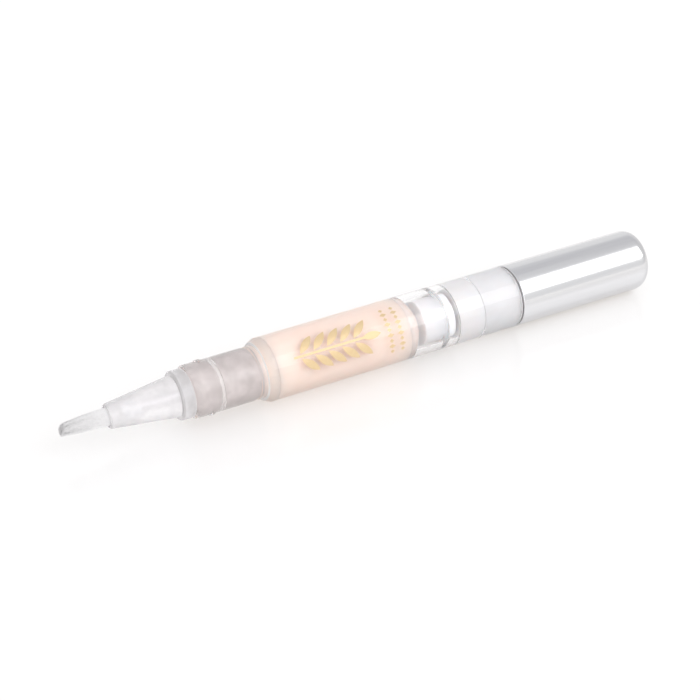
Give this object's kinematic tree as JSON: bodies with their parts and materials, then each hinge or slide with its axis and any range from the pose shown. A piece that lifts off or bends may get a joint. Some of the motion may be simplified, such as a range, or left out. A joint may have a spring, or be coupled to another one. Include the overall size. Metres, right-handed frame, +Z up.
{
  "type": "twist-up brush pen of liquid concealer",
  "caption": "Clear twist-up brush pen of peach liquid concealer, with a nylon brush tip, frosted nozzle, screw-driven piston and silver twist knob.",
  "frame": {"origin": "middle of the pen's length, on the surface that it lies on, under its axis", "axes": "+X along the pen from the brush to the twist knob, +Y across it, +Z up from the surface"},
  "size_m": [0.1112, 0.011, 0.011],
  "materials": {
    "clear_barrel": "clear moulded plastic, polished",
    "frosted_nozzle": "frosted translucent plastic",
    "silicone_seal": "satin silicone",
    "natural_tube": "natural extruded plastic",
    "white_plastic": "satin moulded plastic",
    "nylon_bristle": "tapered white nylon strands",
    "concealer": "creamy peach liquid",
    "translucent_piston": "natural translucent plastic",
    "translucent_mechanism": "natural translucent plastic",
    "grey_plastic": "satin moulded plastic",
    "polished_aluminium": "bright polished and anodised"
  },
  "bodies": {
    "barrel": {"barrel": "clear_barrel", "brush_nozzle": "frosted_nozzle", "nozzle_o_ring": "silicone_seal", "feed_tube": "natural_tube", "tuft_bush": "white_plastic", "bristle_tuft": "nylon_bristle", "concealer_fill": "concealer", "threaded_nut": "translucent_mechanism", "ratchet_sleeve": "translucent_mechanism"},
    "piston": {"piston_cup": "translucent_piston", "piston_core": "white_plastic"},
    "screw_rod": {"screw_rod": "white_plastic"},
    "knob": {"knob_spindle": "white_plastic", "pawl_ring": "white_plastic", "spindle_o_ring": "silicone_seal", "knob_core": "grey_plastic", "knob_shell": "polished_aluminium"}
  },
  "joints": [
    {"name": "knob_twist", "type": "hinge", "parent": "barrel", "child": "knob", "pos_m": [0.04, 0, 0.0055], "axis": [-1, 0, 0], "range_deg": [0, 4320], "deforming": ["pawl_ring"]},
    {"name": "piston_travel", "type": "slide", "parent": "barrel", "child": "piston", "axis": [-1, 0, 0], "range_m": [0, 0.024], "deforming": ["concealer_fill"]},
    {"name": "rod_swivel", "type": "hinge", "parent": "piston", "child": "screw_rod", "pos_m": [0.013, 0, 0.0055], "axis": [-1, 0, 0], "range_deg": [0, 4320]}
  ],
  "couplings": [
    {"joint": "knob_twist", "follows": "piston_travel", "rad_per_m": 3141.6},
    {"joint": "rod_swivel", "follows": "piston_travel", "rad_per_m": 3141.6}
  ]
}
